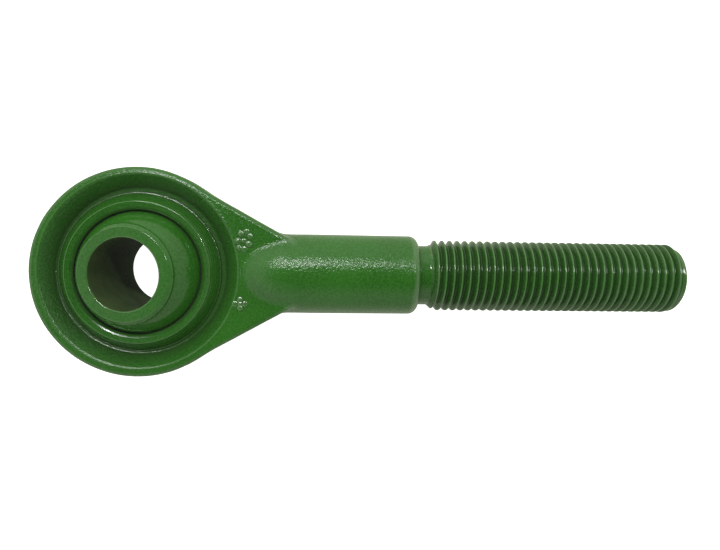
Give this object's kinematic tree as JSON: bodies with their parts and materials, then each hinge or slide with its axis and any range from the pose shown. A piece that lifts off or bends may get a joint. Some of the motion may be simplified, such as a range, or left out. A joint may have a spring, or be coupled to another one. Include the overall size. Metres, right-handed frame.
{
  "type": "rod end bearing",
  "caption": "Painted forged rod end bearing: round eye with a staked race and a bored swivelling ball, and a shank with a left-hand external thread.",
  "frame": {"origin": "centre of the ball, which is also the centre of the eye", "axes": "+X along the shank to the threaded end, +Z along the axis of the eye; the ball is stored leaning 10 degrees from +Z, with its upper end towards -X"},
  "size_m": [0.2417, 0.0754, 0.04],
  "materials": {
    "painted_body": "gloss",
    "painted_race": "gloss",
    "painted_ball": "gloss",
    "liner": "matte"
  },
  "bodies": {
    "rod_end": {"rod_body": "painted_body", "race_half_upper": "painted_race", "race_half_lower": "painted_race"},
    "liner": {"ball_liner": "liner"},
    "ball": {"ball": "painted_ball"}
  },
  "joints": [
    {"name": "ball_swivel", "type": "hinge", "parent": "rod_end", "child": "liner", "pos_m": [0, 0, 0], "axis": [0, 0, 1], "continuous": true},
    {"name": "ball_tilt", "type": "hinge", "parent": "liner", "child": "ball", "pos_m": [0, 0, 0], "axis": [0.1564, -0.9877, 0], "range_deg": [-25, 5]}
  ]
}
